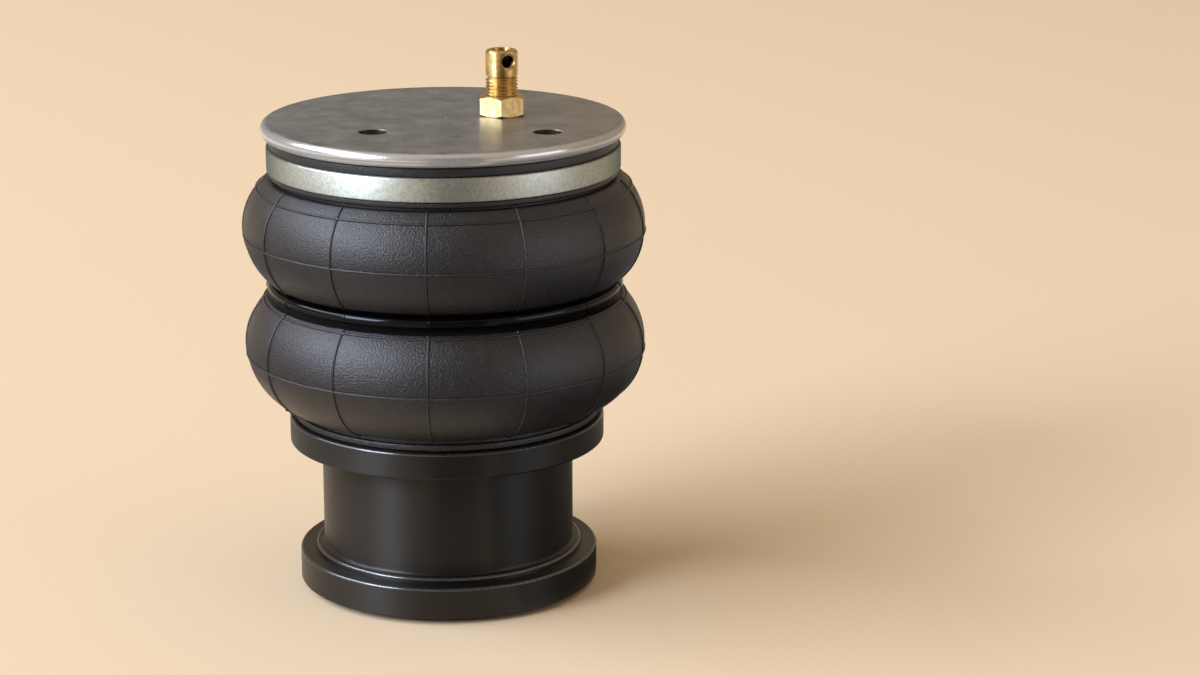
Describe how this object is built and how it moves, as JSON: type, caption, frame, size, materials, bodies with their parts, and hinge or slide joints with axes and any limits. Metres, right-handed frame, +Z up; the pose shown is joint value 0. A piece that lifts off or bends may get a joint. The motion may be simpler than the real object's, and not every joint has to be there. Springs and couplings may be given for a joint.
{
  "type": "air bellows actuator",
  "caption": "Double convolution rubber air bellows with a girdle hoop, on a turned black pedestal, under a round steel plate with tapped holes and a brass air fitting.",
  "frame": {"origin": "middle of the pedestal's underside, on the stroke axis", "axes": "+Z up along the stroke; X along the line of the two mounting holes; -Y is the front"},
  "size_m": [0.149, 0.149, 0.2021],
  "materials": {
    "black_anodised": "satin black anodised, turned",
    "bellows_rubber": "matt moulded rubber with fine grain",
    "black_coated_hoop": "gloss black coated steel",
    "zinc_plate": "zinc plated, faintly spangled",
    "rolled_steel": "dull rolled steel with a bright rim",
    "brass": "polished",
    "screw_black": "black oxide",
    "bare_steel": "plain turned",
    "bead_wire": "bronze coated wire",
    "seal_rubber": "smooth"
  },
  "bodies": {
    "base": {"pedestal": "black_anodised", "base_inserts": "bare_steel", "seat_flange": "black_anodised", "dowel_pins": "bare_steel", "pedestal_screws": "screw_black", "pedestal_washers": "bare_steel", "clamp_plate": "bare_steel", "clamp_screws": "screw_black", "lower_bead_wire": "bead_wire"},
    "girdle": {"bellows": "bellows_rubber", "girdle_hoop": "black_coated_hoop"},
    "head": {"upper_bead_wire": "bead_wire", "cuff_spigot": "bare_steel", "clamp_band": "zinc_plate", "top_plate": "rolled_steel", "mount_nut_left": "bare_steel", "mount_nut_right": "bare_steel", "port_boss": "bare_steel", "stem_seal": "seal_rubber", "lock_nut": "brass", "air_stem": "brass"}
  },
  "joints": [
    {"name": "lower_stroke", "type": "slide", "parent": "base", "child": "girdle", "axis": [0, 0, 1], "range_m": [-0.018, 0.006], "stiffness_N_per_m": 5000, "springref_m": 0.00195, "deforming": ["bellows"]},
    {"name": "upper_stroke", "type": "slide", "parent": "girdle", "child": "head", "axis": [0, 0, 1], "range_m": [-0.018, 0.006], "stiffness_N_per_m": 5000, "springref_m": 0.00195}
  ],
  "couplings": [
    {"joint": "upper_stroke", "follows": "lower_stroke", "ratio": 1}
  ]
}
